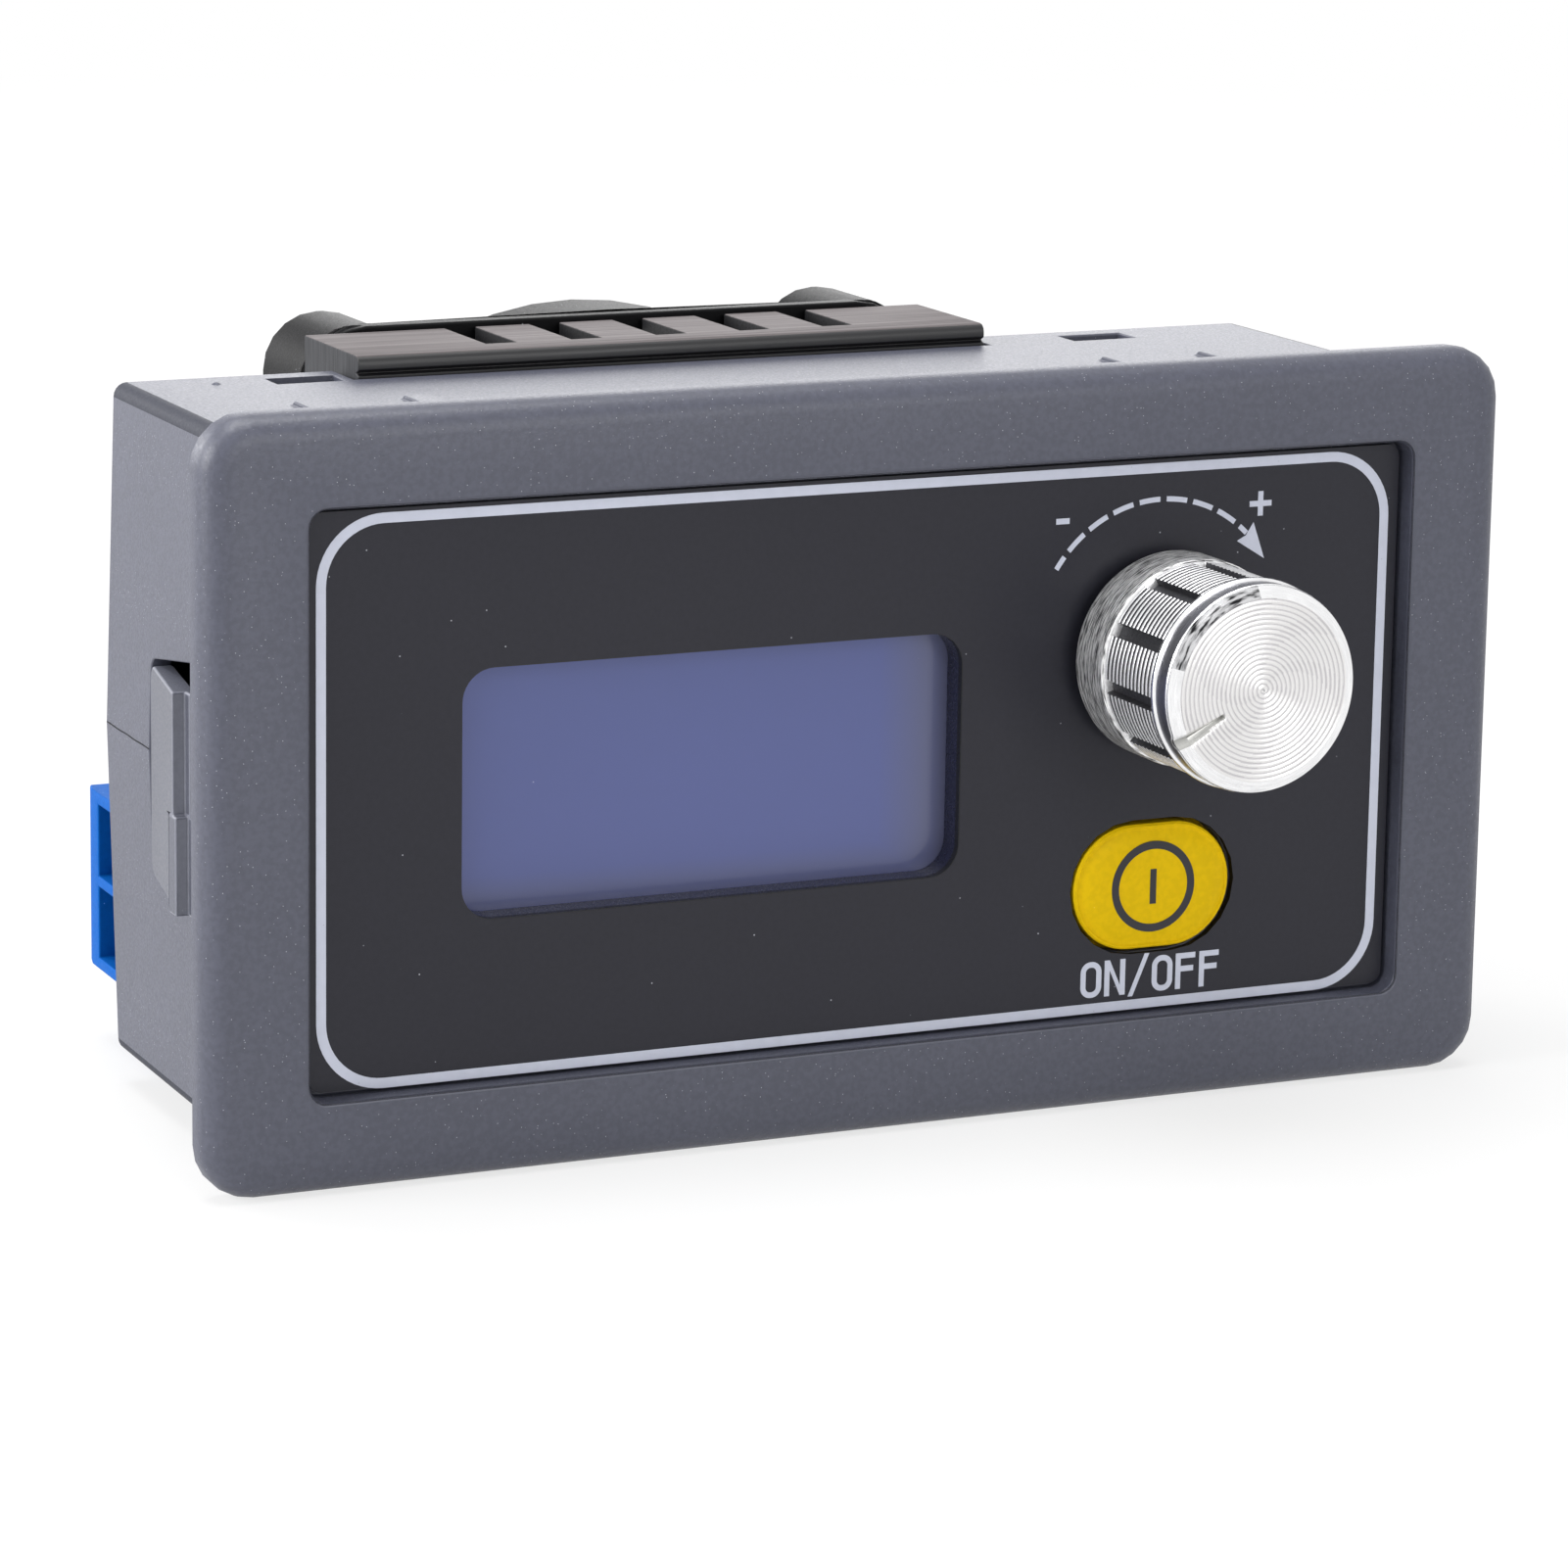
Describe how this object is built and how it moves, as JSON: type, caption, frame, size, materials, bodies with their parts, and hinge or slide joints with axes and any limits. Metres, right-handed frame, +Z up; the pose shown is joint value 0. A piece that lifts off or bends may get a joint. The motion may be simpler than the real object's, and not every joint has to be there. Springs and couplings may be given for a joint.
{
  "type": "dc electronic load",
  "caption": "Panel-mount DC electronic load with display window, turned knob, power key, finned heat sink, axial fan and screw terminal.",
  "frame": {"origin": "middle of the bounding box on the surface that the bezel's lower edge stands on", "axes": "+X along the bezel's width, to the right seen from the front; +Y into the unit, towards the fan; +Z up"},
  "size_m": [0.0794, 0.0514, 0.043],
  "materials": {
    "grey_abs": "moulded, fine matte texture",
    "clip_abs": "moulded, matte",
    "black_film": "satin printed film",
    "display_glass": "unlit blue display glass",
    "white_frame": "moulded",
    "yellow_key": "satin yellow",
    "switch_black": "moulded",
    "plunger_white": "moulded",
    "turned_aluminium": "turned, polished rim",
    "plated_steel": "nickel plated",
    "code_disc": "moulded",
    "encoder_plastic": "moulded",
    "black_board": "solder-masked laminate",
    "green_black_board": "solder-masked laminate",
    "zinc_screw": "zinc plated",
    "header_plastic": "moulded",
    "chip_epoxy": "moulded epoxy",
    "transistor_epoxy": "moulded epoxy",
    "copper_alloy": "bare strip",
    "black_anodised": "black anodised, saw-cut ends",
    "black_screw": "black zinc",
    "fan_plastic": "glass-filled, satin",
    "copper_winding": "enamelled wire",
    "fan_screw_steel": "zinc plated",
    "blue_nylon": "moulded, satin",
    "tinned_contact": "tinned",
    "nickel_cage": "nickel plated",
    "terminal_screw_steel": "zinc plated",
    "jack_plastic": "moulded",
    "jack_pin_steel": "nickel plated",
    "usb_steel": "nickel plated",
    "socket_nylon": "moulded",
    "capacitor_can": "drawn can"
  },
  "bodies": {
    "unit": {"front_housing": "grey_abs", "front_overlay": "black_film", "lcd_glass": "display_glass", "lcd_frame": "white_frame", "tact_switch": "switch_black", "encoder_frame": "plated_steel", "encoder_body": "encoder_plastic", "control_board": "black_board", "board_screw_1": "zinc_screw", "board_screw_2": "zinc_screw", "board_screw_3": "zinc_screw", "board_screw_4": "zinc_screw", "board_header": "header_plastic", "controller_chip": "chip_epoxy", "power_board": "green_black_board", "mosfet_1": "transistor_epoxy", "mosfet_2": "transistor_epoxy", "shunt": "copper_alloy", "heat_sink": "black_anodised", "heat_sink_screw_1": "black_screw", "heat_sink_screw_2": "black_screw", "fan_frame": "fan_plastic", "fan_stator": "copper_winding", "fan_screw_1": "fan_screw_steel", "fan_screw_2": "fan_screw_steel", "fan_screw_3": "fan_screw_steel", "fan_screw_4": "fan_screw_steel", "terminal_block": "blue_nylon", "terminal_pin_1": "tinned_contact", "terminal_pin_2": "tinned_contact", "dc_jack": "jack_plastic", "dc_jack_pin": "jack_pin_steel", "usb_socket": "usb_steel", "serial_header": "socket_nylon", "fan_header": "socket_nylon", "bulk_capacitor": "capacitor_can"},
    "key": {"power_button": "yellow_key"},
    "plunger": {"tact_plunger": "plunger_white"},
    "encoder_disc": {"encoder_rotor": "code_disc"},
    "knob": {"knob": "turned_aluminium", "encoder_shaft": "plated_steel"},
    "fan_wheel": {"fan_rotor": "fan_plastic"},
    "left_clip": {"clip_left": "clip_abs"},
    "right_clip": {"clip_right": "clip_abs"},
    "terminal_screw_upper": {"terminal_screw_1": "terminal_screw_steel"},
    "terminal_screw_lower": {"terminal_screw_2": "terminal_screw_steel"},
    "terminal_cage_upper": {"terminal_cage_1": "nickel_cage"},
    "terminal_cage_lower": {"terminal_cage_2": "nickel_cage"}
  },
  "joints": [
    {"name": "key_press", "type": "slide", "parent": "unit", "child": "key", "axis": [0, 1, 0], "range_m": [0, 0.0003], "stiffness_N_per_m": 1500},
    {"name": "plunger_press", "type": "slide", "parent": "unit", "child": "plunger", "axis": [0, 1, 0], "range_m": [0, 0.0003]},
    {"name": "encoder_turn", "type": "hinge", "parent": "unit", "child": "encoder_disc", "pos_m": [0.01825, -0.01468, 0.0264], "axis": [0, 1, 0], "continuous": true},
    {"name": "knob_push", "type": "slide", "parent": "encoder_disc", "child": "knob", "axis": [0, 1, 0], "range_m": [0, 0.0005], "stiffness_N_per_m": 3000},
    {"name": "fan_spin", "type": "hinge", "parent": "unit", "child": "fan_wheel", "pos_m": [-0.00275, 0.02378, 0.0227], "axis": [0, 1, 0], "continuous": true},
    {"name": "clip_left_flex", "type": "hinge", "parent": "unit", "child": "left_clip", "pos_m": [-0.0364, 0.00217, 0.0215], "axis": [0, 0, 1], "range_deg": [0, 9], "stiffness_Nm_per_rad": 0.25},
    {"name": "clip_right_flex", "type": "hinge", "parent": "unit", "child": "right_clip", "pos_m": [0.0364, 0.00217, 0.0215], "axis": [0, 0, -1], "range_deg": [0, 9], "stiffness_Nm_per_rad": 0.25},
    {"name": "terminal_screw_upper_turn", "type": "hinge", "parent": "unit", "child": "terminal_screw_upper", "pos_m": [-0.03075, 0.01937, 0.01243], "axis": [0, -1, 0], "range_deg": [0, 1440]},
    {"name": "terminal_cage_upper_lift", "type": "slide", "parent": "unit", "child": "terminal_cage_upper", "axis": [0, 1, 0], "range_m": [0, 0.002]},
    {"name": "terminal_screw_lower_turn", "type": "hinge", "parent": "unit", "child": "terminal_screw_lower", "pos_m": [-0.03075, 0.01937, 0.00743], "axis": [0, -1, 0], "range_deg": [0, 1440]},
    {"name": "terminal_cage_lower_lift", "type": "slide", "parent": "unit", "child": "terminal_cage_lower", "axis": [0, 1, 0], "range_m": [0, 0.002]}
  ],
  "couplings": [
    {"joint": "plunger_press", "follows": "key_press", "ratio": 1},
    {"joint": "terminal_screw_upper_turn", "follows": "terminal_cage_upper_lift", "rad_per_m": 12566},
    {"joint": "terminal_screw_lower_turn", "follows": "terminal_cage_lower_lift", "rad_per_m": 12566}
  ]
}
